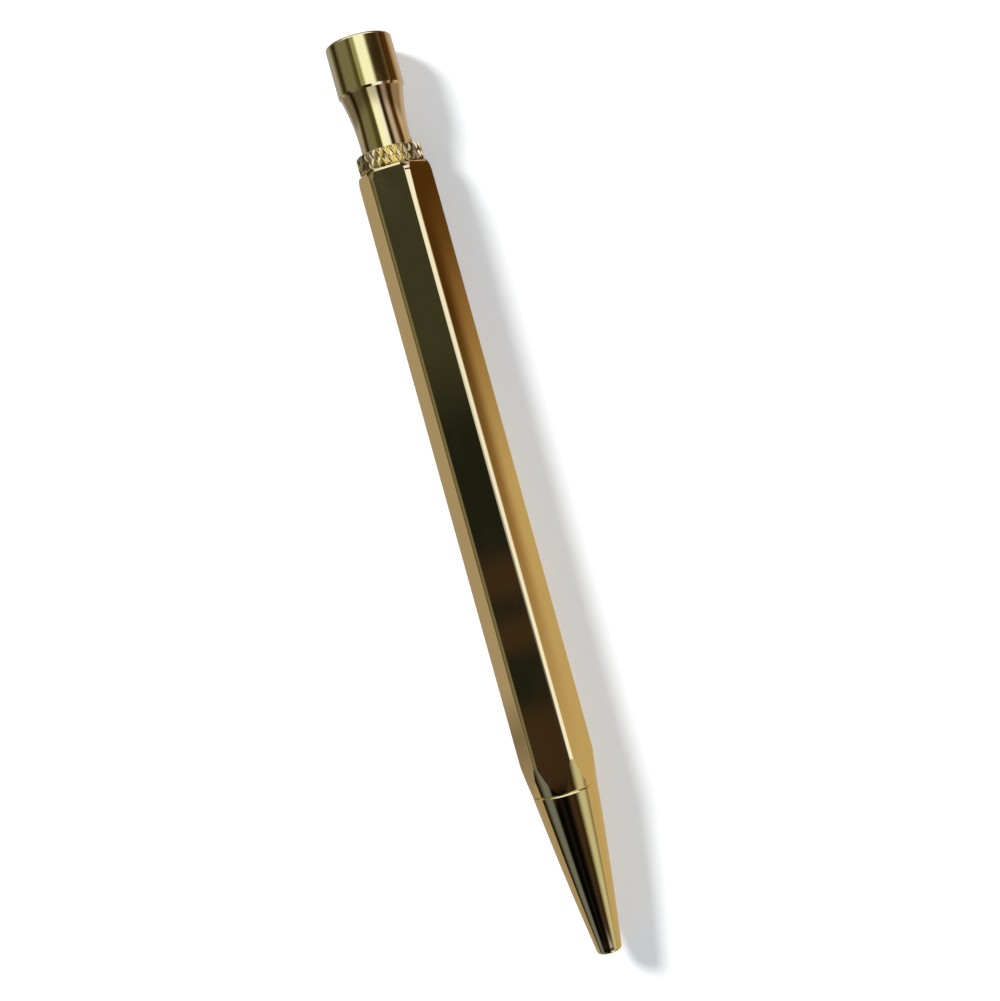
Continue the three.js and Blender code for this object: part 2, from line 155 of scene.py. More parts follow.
def choose(piece: bpy.types.Object, domain: str, test: Callable[..., bool]) -> None:
    """Select what passes a test, and enter edit mode with it selected.

    Args:
        piece: The mesh object.
        domain: VERT, EDGE or FACE.
        test: Called with the mesh and the element.
    """
    take(piece)
    mesh = piece.data
    for parts in (mesh.vertices, mesh.edges, mesh.polygons):
        parts.foreach_set("select", [False] * len(parts))
    parts = {"VERT": mesh.vertices, "EDGE": mesh.edges, "FACE": mesh.polygons}[domain]
    parts.foreach_set("select", [bool(test(mesh, part)) for part in parts])
    bpy.ops.object.mode_set(mode="EDIT")
    bpy.ops.mesh.select_mode(type=domain)


def leave_edit(piece: bpy.types.Object) -> None:
    """Merge doubles, turn the faces outwards and go back to object mode."""
    bpy.ops.mesh.select_all(action="SELECT")
    bpy.ops.mesh.remove_doubles(threshold=MERGE_DISTANCE)
    bpy.ops.mesh.normals_make_consistent(inside=False)
    bpy.ops.object.mode_set(mode="OBJECT")
    take(piece)


def turn(name: str, outline: Outline, sides: int = TURNED_SIDES, solid: bool = False) -> bpy.types.Object:
    """Turn a piece about the pen's axis, ring by ring.

    Args:
        name: The piece's name.
        outline: Stations and radii in millimetres.
        sides: Number of sides of each ring.
        solid: Whether its two ends are filled. Otherwise the outline closes on its own start.

    Returns:
        The closed mesh object.
    """
    rings = [*outline] if solid else [*outline, outline[0]]
    piece = begin(
        name,
        bpy.ops.mesh.primitive_circle_add,
        vertices=sides,
        radius=rings[0][1] * MM,
        location=axis_point(rings[0][0]),
        rotation=ALONG_THE_PEN,
    )
    edit_all()
    for (station, radius), (next_station, next_radius) in pairwise(rings):
        step = ((station - next_station) * MM, 0, 0)
        growth = next_radius / radius
        bpy.ops.mesh.extrude_region_move(TRANSFORM_OT_translate={"value": step})
        bpy.ops.transform.resize(value=(1, growth, growth), center_override=axis_point(next_station))
    if solid:
        bpy.ops.mesh.select_all(action="SELECT")
        bpy.ops.mesh.fill_holes(sides=0)
    leave_edit(piece)
    return piece


def cut(piece: bpy.types.Object, tool: bpy.types.Object, mode: CutMode) -> None:
    """Apply a cutting shape to a piece and throw the cutting shape away.

    Args:
        piece: The mesh object.
        tool: The cutting shape.
        mode: What it leaves of the piece.
    """
    take(piece)
    modifier = piece.modifiers.new("cut", "BOOLEAN")
    modifier.operation = mode.value
    modifier.solver = "EXACT"
    modifier.object = tool
    bpy.ops.object.modifier_apply(modifier=modifier.name)
    bpy.data.objects.remove(tool)


def soften(piece: bpy.types.Object, width: float, sharpness: float) -> None:
    """Round every edge that is sharper than an angle, in two steps.

    Args:
        piece: The mesh object.
        width: Width of the rounding in millimetres.
        sharpness: Least angle of an edge that is rounded, in degrees.
    """
    take(piece)
    modifier = piece.modifiers.new("soften", "BEVEL")
    modifier.width = width * MM
    modifier.segments = 2
    modifier.limit_method = "ANGLE"
    modifier.angle_limit = math.radians(sharpness)
    modifier.use_clamp_overlap = True
    modifier.harden_normals = False
    bpy.ops.object.modifier_apply(modifier=modifier.name)


def smooth(piece: bpy.types.Object, sharpness: float) -> None:
    """Shade a piece smooth up to an angle in degrees, with its large faces kept flat."""
    take(piece)
    bpy.ops.object.shade_smooth_by_angle(angle=math.radians(sharpness))
    modifier = piece.modifiers.new("flat faces", "WEIGHTED_NORMAL")
    modifier.mode = "FACE_AREA"
    modifier.weight = 90
    modifier.keep_sharp = True
    bpy.ops.object.modifier_apply(modifier=modifier.name)


def shares(steps: int) -> list[float]:
    """Return even shares from 0 to 1."""
    return [step / steps for step in range(steps + 1)]


def rounded_end(station: float, radius: float, size: float) -> list[Span]:
    """Return a quarter round from its level end to its steep end.

    Args:
        station: Where the round starts, level with the outside.
        radius: Radius of the outside there.
        size: Radius of the round, negative where it runs towards the nose.

    Returns:
        Stations and radii in millimetres.
    """
    points = []
    for share in shares(ROUND_STEPS):
        angle = share * math.pi / 2
        points.append((station + size * math.sin(angle), radius - abs(size) * (1 - math.cos(angle))))
    return points


# Nodes


class NodeSheet:
    """The nodes of one material or world, made by short calls."""

    def __init__(self, name: str, is_world: bool = False) -> None:
        """Start an empty material, or an empty world."""
        self.owner = (bpy.data.worlds if is_world else bpy.data.materials).new(name)
        self.output = "ShaderNodeOutputWorld" if is_world else "ShaderNodeOutputMaterial"
        self.owner.use_nodes = True
        self.tree = self.owner.node_tree
        self.tree.nodes.clear()

    def add(self, kind: str, inputs: Inputs | None = None, **settings: object) -> bpy.types.Node:
        """Add a node.

        Args:
            kind: The node's type.
            inputs: Sockets or values for its inputs, by name or number.
            settings: Its properties.

        Returns:
            The node.
        """
        node = self.tree.nodes.new(kind)
        for name, value in settings.items():
            setattr(node, name, value)
        for name, value in (inputs or {}).items():
            target = node.inputs[name]
            if isinstance(value, Socket):
                self.tree.links.new(value, target)
            else:
                target.default_value = (*value, 1.0) if target.type == "RGBA" else value
        return node

    def place(self) -> Socket:
        """Return the Object coordinates."""
        return self.add("ShaderNodeTexCoord").outputs["Object"]

    def place_parts(self) -> Sequence[Socket]:
        """Return the Object coordinates as X, Y and Z."""
        return tuple(self.add("ShaderNodeSeparateXYZ", {0: self.place()}).outputs)

    def math(self, operation: str, first: Socket | float, second: Socket | float = 0.0) -> Socket:
        """Return the result of a Math node."""
        return self.add("ShaderNodeMath", {0: first, 1: second}, operation=operation).outputs[0]

    def noise(self, scale: Triple, detail: float, roughness: float = 0.5) -> Socket:
        """Return noise about the pen's axis, from 0 to 1.

        Args:
            scale: How often it changes per metre along X, Y and Z.
            detail: Number of finer layers.
            roughness: Strength of the finer layers.

        Returns:
            The noise.
        """
        axis = (0, 0, AXIS_HEIGHT * MM)
        centred = self.add("ShaderNodeVectorMath", {0: self.place(), 1: axis}, operation="SUBTRACT")
        scaled = self.add("ShaderNodeMapping", {"Vector": centred.outputs[0], "Scale": scale})
        vector = scaled.outputs["Vector"]
        settings = {"Vector": vector, "Scale": 1.0, "Detail": detail, "Roughness": roughness}
        return self.add("ShaderNodeTexNoise", settings).outputs["Fac"]

    def window(self, value: Socket, low: float, high: float, start: float = 0, end: float = 1) -> Socket:
        """Return a smooth step.

        Args:
            value: What it follows.
            low: The value at which it starts.
            high: The value at which it ends.
            start: The result up to low.
            end: The result from high on.

        Returns:
            The step.
        """
        ends = {"From Min": low, "From Max": high, "To Min": start, "To Max": end}
        node = self.add("ShaderNodeMapRange", {"Value": value, **ends}, interpolation_type="SMOOTHSTEP")
        return node.outputs["Result"]

    def between(self, value: Socket, low: float, high: float, edge: float) -> Socket:
        """Return 1 between low and high and 0 outside, with edges softened by edge either way."""
        rise = self.window(value, low - edge, low + edge)
        fall = self.window(value, high - edge, high + edge, 1.0, 0.0)
        return self.math("MULTIPLY", rise, fall)

    def mix(
        self, share: Socket | float, first: Socket | Triple, second: Socket | Triple, blend: str = "MIX"
    ) -> Socket:
        """Return a mix of two colours.

        Args:
            share: Share of the second colour, from 0 to 1.
            first: The first colour.
            second: The second colour.
            blend: Name of the way in which the second is laid over the first.

        Returns:
            The mixed colour.
        """
        inputs = {"Factor": share, 6: first, 7: second}
        return self.add("ShaderNodeMix", inputs, data_type="RGBA", blend_type=blend).outputs[2]

    def ramp(self, value: Socket, reach: float, stops: Sequence[tuple[float, Triple]]) -> Socket:
        """Return a colour that follows a value.

        Args:
            value: What it follows.
            reach: The largest value, either side of nought.
            stops: Values and their colours.

        Returns:
            The colour.
        """
        share = self.add("ShaderNodeMapRange", {"Value": value, "From Min": -reach, "From Max": reach})
        node = self.add("ShaderNodeValToRGB", {"Fac": share.outputs["Result"]})
        elements = node.color_ramp.elements
        while len(elements) < len(stops):
            elements.new(0.5)
        for element, (position, colour) in zip(elements, stops):
            element.position = (position + reach) / (2 * reach)
            element.color = (*colour, 1.0)
        return node.outputs["Color"]

    def bump(self, height: Socket, strength: float, depth: float) -> Socket:
        """Return the direction of a raised surface.

        Args:
            height: What raises it, from 0 to 1.
            strength: How much of it shows, from 0 to 1.
            depth: How high it stands, in millimetres.

        Returns:
            The direction, for a shader's Normal.
        """
        inputs = {"Strength": strength, "Distance": depth * MM, "Height": height}
        return self.add("ShaderNodeBump", inputs).outputs["Normal"]

    def glow(self, colour: Socket) -> bpy.types.Material:
        """Return the material as a surface that shines in a colour at its plain strength."""
        return self.close(self.add("ShaderNodeEmission", {"Color": colour}))

    def close(self, shader: bpy.types.Node) -> bpy.types.Material | bpy.types.World:
        """Link the shader into the output, and return the material or world."""
        self.add(self.output, {"Surface": shader.outputs[0]})
        return self.owner


# Finishes


@dataclass(frozen=True)
class Metal:
    """A metal with fine marks, faint smudges and a slightly uneven colour."""

    name: str
    slot: str
    colour: Triple
    roughness: float
    grain: Grain
    marks: float
    smudge: float
    tint: float = 0.05
    clouds: Triple = (120, 260, 260)
    patches: Span = (0.45, 0.75)
    least_roughness: float = 0.02
    least_bump: float = 0.02
    bump_by_marks: float = 0.2
    bump_depth: float = 0.004

    def make(self) -> bpy.types.Material:
        """Return the material."""
        sheet = NodeSheet(self.name)
        fine = sheet.noise(self.grain.value, 2, 0.6)
        clouds = sheet.noise(self.clouds, 4, 0.55)
        darker = tuple(value * (1 - self.tint) for value in self.colour)
        marked = sheet.math("MULTIPLY", sheet.math("SUBTRACT", fine, 0.5), self.marks)
        smudged = sheet.math("MULTIPLY", sheet.window(clouds, *self.patches), self.smudge)
        rough = sheet.math("ADD", sheet.math("ADD", marked, smudged), self.roughness)
        strength = self.least_bump + self.marks * self.bump_by_marks
        shader = sheet.add("ShaderNodeBsdfPrincipled", {
            "Metallic": 1.0,
            "Base Color": sheet.mix(clouds, self.colour, darker),
            "Roughness": sheet.math("MAXIMUM", rough, self.least_roughness),
            "Normal": sheet.bump(fine, strength, self.bump_depth),
        })
        return sheet.close(shader)


@dataclass(frozen=True)
class Plastic:
    """A moulded plastic with a fine matt grain and slight flow marks."""

    name: str
    slot: str
    colour: Triple
    roughness: float
    flow: Triple = (300, 700, 700)
    grain: Triple = (5200, 5200, 5200)
    grain_range: Span = (0.2, 0.8)
    unevenness: float = 0.06
    paler_by: float = 1.12
    bump: float = 0.15
    bump_depth: float = 0.01

    def make(self) -> bpy.types.Material:
        """Return the material."""
        sheet = NodeSheet(self.name)
        flow = sheet.noise(self.flow, 3)
        grain = sheet.noise(self.grain, 2)
        paler = tuple(min(1.0, value * self.paler_by + 0.01) for value in self.colour)
        smoothest, roughest = self.roughness - self.unevenness, self.roughness + self.unevenness
        shader = sheet.add("ShaderNodeBsdfPrincipled", {
            "Base Color": sheet.mix(flow, self.colour, paler),
            "Roughness": sheet.window(grain, *self.grain_range, smoothest, roughest),
            "Normal": sheet.bump(grain, self.bump, self.bump_depth),
        })
        return sheet.close(shader)


BRASS = (0.88, 0.73, 0.32)
POLISHED_BAR = Metal("polished_bar_brass", "polished_brass", BRASS, 0.05, Grain.ALONG, 0.05, 0.05)
POLISHED_TURNED = Metal("polished_turned_brass", "polished_brass", BRASS, 0.05, Grain.ROUND, 0.05, 0.03)
KNURLED = Metal("knurled_brass", "polished_brass", BRASS, 0.14, Grain.ROUND, 0.05, 0.06)
MACHINED = Metal("machined_brass", "machined_brass", (0.74, 0.58, 0.28), 0.24, Grain.ROUND, 0.2, 0.08)
REFILL_STEEL = Metal("refill_steel", "refill_steel", (0.62, 0.62, 0.61), 0.24, Grain.ALONG, 0.16, 0.06)
SPRING_STEEL = Metal("spring_steel", "spring_steel", (0.6, 0.6, 0.6), 0.2, Grain.ROUND, 0.1, 0.05)
PALE_ACETAL = Plastic("pale_acetal", "pale_acetal", (0.72, 0.7, 0.64), 0.45)
BLACK_ACETAL = Plastic("black_acetal", "black_acetal", (0.018, 0.018, 0.02), 0.4)
BLUE_INK = Plastic("blue_ink", "blue_ink", (0.006, 0.012, 0.06), 0.15)
Finish = Metal | Plastic


class FinishShop:
    """Makes each finish once and puts it on pieces."""

    def __init__(self) -> None:
        """Start with no finish made."""
        self.made: dict[str, bpy.types.Material] = {}

    def material(self, finish: Finish) -> bpy.types.Material:
        """Return the material of a finish, made on first use."""
        if finish.name not in self.made:
            self.made[finish.name] = finish.make()
        return self.made[finish.name]

    def dress(
        self, piece: bpy.types.Object, finish: Finish, body: str, node: str, least_edge: float = TURNED_EDGE
    ) -> None:
        """Shade a new piece, give it its finish and body, and let it stand for its node.

        Args:
            piece: The finished mesh object.
            finish: Its finish.
            body: The body that it rides on.
            node: The node that it replaces.
            least_edge: Least angle of an edge that stays sharp, in degrees.
        """
        smooth(piece, least_edge)
        piece.data.materials.clear()
        piece.data.materials.append(self.material(finish))
        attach(piece, body)
        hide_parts(node)
        log.info("%s: %d faces, rides on %s", piece.name, len(piece.data.polygons), body)

    def repaint(self, node: str, finish: Finish) -> None:
        """Put a finish on a node that keeps its own shape."""
        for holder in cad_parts[node].material_slots:
            holder.material = self.material(finish)
        log.info("%s keeps its shape, finished in %s", node, finish.name)


# What the brass mirrors: painted reflections on glowing cards


class Tone(Enum):
    """Tones that the room shows in polished brass, as red, green and blue from 0 to 255."""

    INK = (6, 4, 2)
    COAL = (22, 18, 12)
    NIGHT = (30, 30, 16)
    SOOT = (38, 28, 8)
    UMBER = (50, 34, 8)
    COFFEE = (60, 41, 21)
    RUSSET = (76, 45, 10)
    CHESTNUT = (98, 66, 22)
    COPPER = (92, 70, 42)
    OCHRE = (124, 104, 62)
    AMBER = (146, 106, 50)
    GOLD = (190, 157, 90)
    HONEY = (165, 139, 88)
    STRAW = (146, 138, 80)
    MOSS = (76, 66, 24)
    DEEP_OLIVE = (58, 53, 30)
    OLIVE = (116, 106, 66)
    PEWTER = (110, 107, 86)
    WHEAT = (194, 180, 122)
    SAND = (188, 158, 110)
    TAN = (158, 144, 108)
    ROSE = (188, 164, 130)
    CREAM = (248, 236, 196)
    PALE = (250, 244, 186)


# Each band is a tone and the place or places that it spans. Places are degrees from overhead,
# positive to the photo's right, or millimetres along or across the pen.

Bands = Sequence[tuple[Tone, float] | tuple[Tone, float, float]]

KNOB_BANDS: Bands = (
    (Tone.MOSS, -100), (Tone.SOOT, -92, -86), (Tone.OLIVE, -70, -38), (Tone.MOSS, -27, -21),
    (Tone.STRAW, -16, -7), (Tone.PALE, 1, 28), (Tone.MOSS, 38), (Tone.UMBER, 46, 72), (Tone.COPPER, 86),
    (Tone.RUSSET, 98),
)
NECK_BANDS: Bands = (
    (Tone.TAN, -97), (Tone.UMBER, -78, -70), (Tone.OLIVE, -58, -32), (Tone.MOSS, -20, -7),
    (Tone.PALE, 0, 10), (Tone.CREAM, 18, 26), (Tone.UMBER, 34, 43), (Tone.ROSE, 53, 61),
    (Tone.RUSSET, 74, 88), (Tone.SAND, 100),
)
BAR_LEFT_BANDS: Bands = (
    (Tone.OCHRE, -98), (Tone.COPPER, -90, -74), (Tone.OLIVE, -62, -34), (Tone.DEEP_OLIVE, -20),
)
BAR_UPPER_BANDS: Bands = (
    *BAR_LEFT_BANDS, (Tone.DEEP_OLIVE, -4), (Tone.CREAM, 1, 60), (Tone.AMBER, 82), (Tone.RUSSET, 94),
)
BAR_LOWER_BANDS: Bands = (*BAR_LEFT_BANDS, (Tone.UMBER, -4, 20), (Tone.CREAM, 36, 82), (Tone.HONEY, 98))
NOSE_LEFT_BANDS: Bands = ((Tone.MOSS, -100), (Tone.SOOT, -90, -80), (Tone.PEWTER, -66, -50))
NOSE_RIGHT_BANDS: Bands = ((Tone.UMBER, 41), (Tone.WHEAT, 57, 72), (Tone.OCHRE, 87), (Tone.GOLD, 97))
NOSE_BANDS: Bands = (
    *NOSE_LEFT_BANDS, (Tone.INK, -40, -26), (Tone.COAL, -18, -11), (Tone.INK, -6, 2), (Tone.COAL, 10),
    (Tone.COFFEE, 18, 27), (Tone.UMBER, 33), *NOSE_RIGHT_BANDS,
)
CONE_BANDS: Bands = (
    *NOSE_LEFT_BANDS, (Tone.UMBER, -41), (Tone.COFFEE, -37, 28), (Tone.UMBER, 36), *NOSE_RIGHT_BANDS,
)
CAP_EDGE_BANDS: Bands = ((Tone.DEEP_OLIVE, -28), (Tone.OLIVE, -6), (Tone.STRAW, 26), (Tone.UMBER, 40))
CAP_RIM_BANDS: Bands = (
    (Tone.OLIVE, -60), (Tone.DEEP_OLIVE, -24), (Tone.SOOT, -14, 14), (Tone.CREAM, 24, 56),
    (Tone.COPPER, 70),
)
ROOM_END_BANDS: Bands = ((Tone.SOOT, 150), (Tone.CREAM, 300))
FAR_END_BANDS: Bands = ((Tone.OLIVE, -70), (Tone.CREAM, -34, 60), (Tone.AMBER, 76))
OVERHEAD_BANDS: Bands = (
    (Tone.DEEP_OLIVE, -66), (Tone.NIGHT, -22, 40), (Tone.COFFEE, 55, 63), (Tone.NIGHT, 74),
    (Tone.COFFEE, 85, 92), (Tone.NIGHT, 103, 122), (Tone.COFFEE, 134, 170), (Tone.INK, 174),
)
TABLE_INNER_BANDS: Bands = ((Tone.RUSSET, -30), (Tone.CHESTNUT, -20), (Tone.AMBER, 8), (Tone.GOLD, 46))
TABLE_OUTER_BANDS: Bands = ((Tone.RUSSET, -50), (Tone.CHESTNUT, -40), (Tone.AMBER, -26), (Tone.GOLD, 0))
TABLE_LEFT_BANDS: Bands = ((Tone.HONEY, 30), (Tone.OCHRE, 38), (Tone.HONEY, 50))
KNOB_TABLE_BANDS: Bands = (
    (Tone.MOSS, -55), (Tone.OLIVE, -32), (Tone.TAN, -20, -4), (Tone.SAND, 9), (Tone.RUSSET, 20),
)
BEHIND_KNOB_BANDS: Bands = ((Tone.DEEP_OLIVE, -6), (Tone.STRAW, 1), (Tone.MOSS, 8), (Tone.UMBER, 30))


def behind_brass(tone: Tone) -> Triple:
    """Return the light in which polished brass shows a tone.

    Args:
        tone: What the brass shows.

    Returns:
        Linear red, green and blue.
    """
    light = []
    for value, metal in zip(tone.value, BRASS):
        share = value / 255
        level = share / 12.92 if share <= 0.04045 else ((share + 0.055) / 1.055) ** 2.4
        light.append(level / metal)
    return tuple(light)


def banded(sheet: NodeSheet, value: Socket, reach: float, bands: Bands, unit: float = 1.0) -> Socket:
    """Return light in which polished brass shows bands of tones.

    Args:
        sheet: The material's nodes.
        value: An angle in degrees, or a place in metres.
        reach: The largest value, either side of nought.
        bands: The tones and their places.
        unit: The bands' unit in that of the value.

    Returns:
        The light's colour.
    """
    stops = [(place * unit, behind_brass(tone)) for tone, *places in bands for place in places]
    return sheet.ramp(value, reach, stops)


@dataclass
class RoomPaint:
    """The paints of the glowing cards that the brass mirrors: painted reflections.

    A seam is where one paint takes over from the one before, in metres along the pen unless its
    name says across.
    """

    all_round: float = 100.0
    far_seam: Span = (-0.98, -0.95)
    knob_seam: Span = (-0.27, -0.25)
    bar_seam: Span = (-0.195, -0.185)
    cone_seam: Span = (0.19, 0.21)
    nose_seam: Span = (0.3, 0.306)
    rim_seam: Span = (0.45, 0.5)
    bar_change: Span = (-0.165, 0.175)
    overhead_angles: Span = (-15.5, -4.2)
    overhead_edge: float = 1.0
    overhead_reach: float = 0.18
    nose_spread: float = 1.21
    nose_narrowing: float = 0.65
    end_reach: float = 0.6
    hood_round: float = 115.0
    flare: Span = (-0.0604, -0.0565)
    flare_spread: Span = (1.26, 1.0)
    shade_seam: Span = (-0.0582, -0.0594)
    shade: Triple = (0.55, 0.495, 0.4675)
    table_reach: float = 0.056
    table_left_reach: float = 0.08
    knob_table_reach: float = 0.06
    behind_knob_reach: float = 0.04
    inner_seam_across: Span = (0.0262, 0.0215)
    middle_seam_across: Span = (-0.001, 0.001)
    bar_table_seam: Span = (-0.0555, -0.0545)
    knob_table_seam: Span = (-0.086, -0.084)

    @staticmethod
    def directions(sheet: NodeSheet, height: float) -> tuple[Socket, Socket]:
        """Return the place along the pen, and the angle from overhead in degrees.

        Args:
            sheet: The material's nodes.
            height: Height of the line that the angle turns about.

        Returns:
            The place and the angle.
        """
        x, y, z = sheet.place_parts()
        above = sheet.math("SUBTRACT", z, height)
        return x, sheet.math("MULTIPLY", sheet.math("ARCTAN2", y, above), math.degrees(1.0))

    def room(self) -> bpy.types.Material:
        """Return the painted reflection of the room, by the angle from overhead and the place along the pen.
        """
        sheet = NodeSheet("painted_room_reflection")
        x, angle = self.directions(sheet, 0.0)

        def round_the_pen(bands: Bands) -> Socket:
            """Return bands by the angle from overhead."""
            return banded(sheet, angle, self.all_round, bands)

        upper, lower = round_the_pen(BAR_UPPER_BANDS), round_the_pen(BAR_LOWER_BANDS)
        overhead = banded(sheet, x, self.overhead_reach, OVERHEAD_BANDS, MM)
        is_overhead = sheet.between(angle, *self.overhead_angles, self.overhead_edge)
        bar = sheet.mix(is_overhead, sheet.mix(sheet.window(x, *self.bar_change), upper, lower), overhead)
        spread = sheet.math("SUBTRACT", self.nose_spread, sheet.math("MULTIPLY", x, self.nose_narrowing))
        nose = banded(sheet, sheet.math("MULTIPLY", angle, spread), self.all_round, NOSE_BANDS)
        stretches = (
            (self.far_seam, round_the_pen(FAR_END_BANDS)),
            (self.knob_seam, round_the_pen(KNOB_BANDS)),
            (self.bar_seam, bar),
            (self.cone_seam, round_the_pen(CONE_BANDS)),
            (self.nose_seam, nose),
            (self.rim_seam, round_the_pen(CAP_RIM_BANDS)),
        )
        colour = round_the_pen(CAP_EDGE_BANDS)
        for seam, following in stretches:
            colour = sheet.mix(sheet.window(x, *seam), colour, following)
        return sheet.glow(colour)

    def end(self) -> bpy.types.Material:
        """Return the painted reflection of the room's end beyond the nose, by the place across the pen."""
        sheet = NodeSheet("painted_room_end_reflection")
        _, y, _ = sheet.place_parts()
        return sheet.glow(banded(sheet, y, self.end_reach, ROOM_END_BANDS, MM))

    def hood(self, height: float) -> bpy.types.Material:
        """Return the painted reflection that the button's waisted neck mirrors.

        Args:
            height: Height of the hood's middle line.

        Returns:
            The material.
        """
        sheet = NodeSheet("painted_hood_reflection")
        x, angle = self.directions(sheet, height)
        straight = sheet.window(x, *self.flare, *self.flare_spread)
        bands = banded(sheet, sheet.math("MULTIPLY", angle, straight), self.hood_round, NECK_BANDS)
        # Darker towards the cap: painted shade of the cap's rim, laid over the painted reflection.
        return sheet.glow(sheet.mix(sheet.window(x, *self.shade_seam), bands, self.shade, "MULTIPLY"))

    def table(self) -> bpy.types.Material:
        """Return the painted reflection of a warm table top beside the pen, which only the brass sees."""
        sheet = NodeSheet("painted_table_reflection")
        x, y, _ = sheet.place_parts()
        inner = banded(sheet, x, self.table_reach, TABLE_INNER_BANDS, MM)
        outer = banded(sheet, x, self.table_reach, TABLE_OUTER_BANDS, MM)
        right = sheet.mix(sheet.window(y, *self.inner_seam_across), inner, outer)
        left = banded(sheet, x, self.table_left_reach, TABLE_LEFT_BANDS, MM)
        bar = sheet.mix(sheet.window(y, *self.middle_seam_across), left, right)
        knob = banded(sheet, y, self.knob_table_reach, KNOB_TABLE_BANDS, MM)
        behind = banded(sheet, y, self.behind_knob_reach, BEHIND_KNOB_BANDS, MM)
        along = sheet.mix(sheet.window(x, *self.bar_table_seam), knob, bar)
        return sheet.glow(sheet.mix(sheet.window(x, *self.knob_table_seam), behind, along))


# The pen's sub-assemblies


@dataclass
class Barrel:
    """The bored six-sided bar, coned at the joint and rounded off at the shoulder."""

    start: float = 25.2
    end: float = 120.4
    across_flats: float = 10.0
    corner_radius: float = 0.95
    joint_radius: float = 4.98
    joint_break: float = 0.1
    taper: float = 7.6
    shoulder_length: float = 1.6
    shoulder_drop: float = 0.34
    slim_length: float = 7.0
    slim_drop: float = 0.07
    end_round: float = 0.5
    bores: tuple[Span, ...] = ((33.25, 3.95), (96.05, 3.5), (114.8, 4.0), (121.0, 4.45))
    corner_steps: int = 16
    end_steps: int = 6
    shoulder_steps: int = 10
    lathe_sides: int = 216
    least_edge: float = 5.2
    spare: float = 1.0

    def bar(self) -> bpy.types.Object:
        """Return the six-sided bar with rounded corners and a rounded end."""
        front = self.start - 2 * self.spare
        piece = begin(
            "hexagon_barrel",
            bpy.ops.mesh.primitive_cylinder_add,
            vertices=6,
            radius=self.across_flats / math.sqrt(3) * MM,
            depth=(self.end - front) * MM,
            location=axis_point((front + self.end) / 2),
            rotation=ALONG_THE_PEN,
        )
        tangent = self.corner_radius * math.tan(HALF_CORNER_TURN)
        self.round_edges(piece, self.runs_along, tangent, self.corner_steps)
        self.round_edges(piece, self.is_at_end, self.end_round, self.end_steps)
        leave_edit(piece)
        return piece

    @staticmethod
    def round_edges(piece: bpy.types.Object, test: Callable[..., bool], width: float, steps: int) -> None:
        """Round the edges that pass a test.

        Args:
            piece: The mesh object.
            test: Called with the mesh and the edge.
            width: How far the rounding reaches from the edge, in millimetres.
            steps: Steps across the rounding.
        """
        choose(piece, "EDGE", test)
        bpy.ops.mesh.bevel(
            offset_type="OFFSET", offset=width * MM, segments=steps, profile=0.5, affect="EDGES"
        )

    @staticmethod
    def runs_along(mesh: bpy.types.Mesh, edge: bpy.types.MeshEdge) -> bool:
        """Tell whether an edge runs along the pen."""
        first, second = (mesh.vertices[i].co for i in edge.vertices)
        return abs(first.x - second.x) > SAME_PLACE

    def is_at_end(self, mesh: bpy.types.Mesh, edge: bpy.types.MeshEdge) -> bool:
        """Tell whether an edge lies in the bar's end face beside the collar."""
        return all(abs(mesh.vertices[i].co.x - place_of(self.end)) < SAME_PLACE for i in edge.vertices)

    def envelope(self) -> bpy.types.Object:
        """Return the turned shape that the lathe leaves of the bar."""
        corner_centre = (self.across_flats / 2 - self.corner_radius) / math.cos(HALF_CORNER_TURN)
        reach = corner_centre + self.corner_radius
        clear, just_clear = reach + self.spare, reach + 0.001
        slope = math.tan(math.radians(self.taper))
        shoulder = self.end - self.shoulder_length
        slim = shoulder - self.slim_length
        outline = [
            (self.start, self.joint_radius - self.joint_break),
            (self.start + self.joint_break, self.joint_radius + self.joint_break * slope),
            (self.start + (clear - self.joint_radius) / slope, clear),
            (slim, clear),
            (slim, just_clear),
        ]
        for share in shares(self.shoulder_steps):
            radius = reach - self.slim_drop - self.shoulder_drop * share * share
            outline.append((shoulder + self.shoulder_length * share, radius))
        return turn("lathe_envelope", outline, self.lathe_sides, solid=True)

    def bore(self) -> bpy.types.Object:
        """Return the stepped bore as a solid."""
        outline = [(self.start - self.spare, self.bores[0][1])]
        for (station, radius), (_, next_radius) in pairwise(self.bores):
            outline += [(station, radius), (station, next_radius)]
        outline.append((self.end + self.spare, self.bores[-1][1]))
        return turn("stepped_bore", outline, BORE_SIDES, solid=True)

    def build(self, shop: FinishShop) -> None:
        """Model and dress the barrel."""
        piece = self.bar()
        cut(piece, self.envelope(), CutMode.KEEP_INSIDE)
        cut(piece, self.bore(), CutMode.TAKE_AWAY)
        shop.dress(piece, POLISHED_BAR, "barrel_assembly", "barrel", self.least_edge)


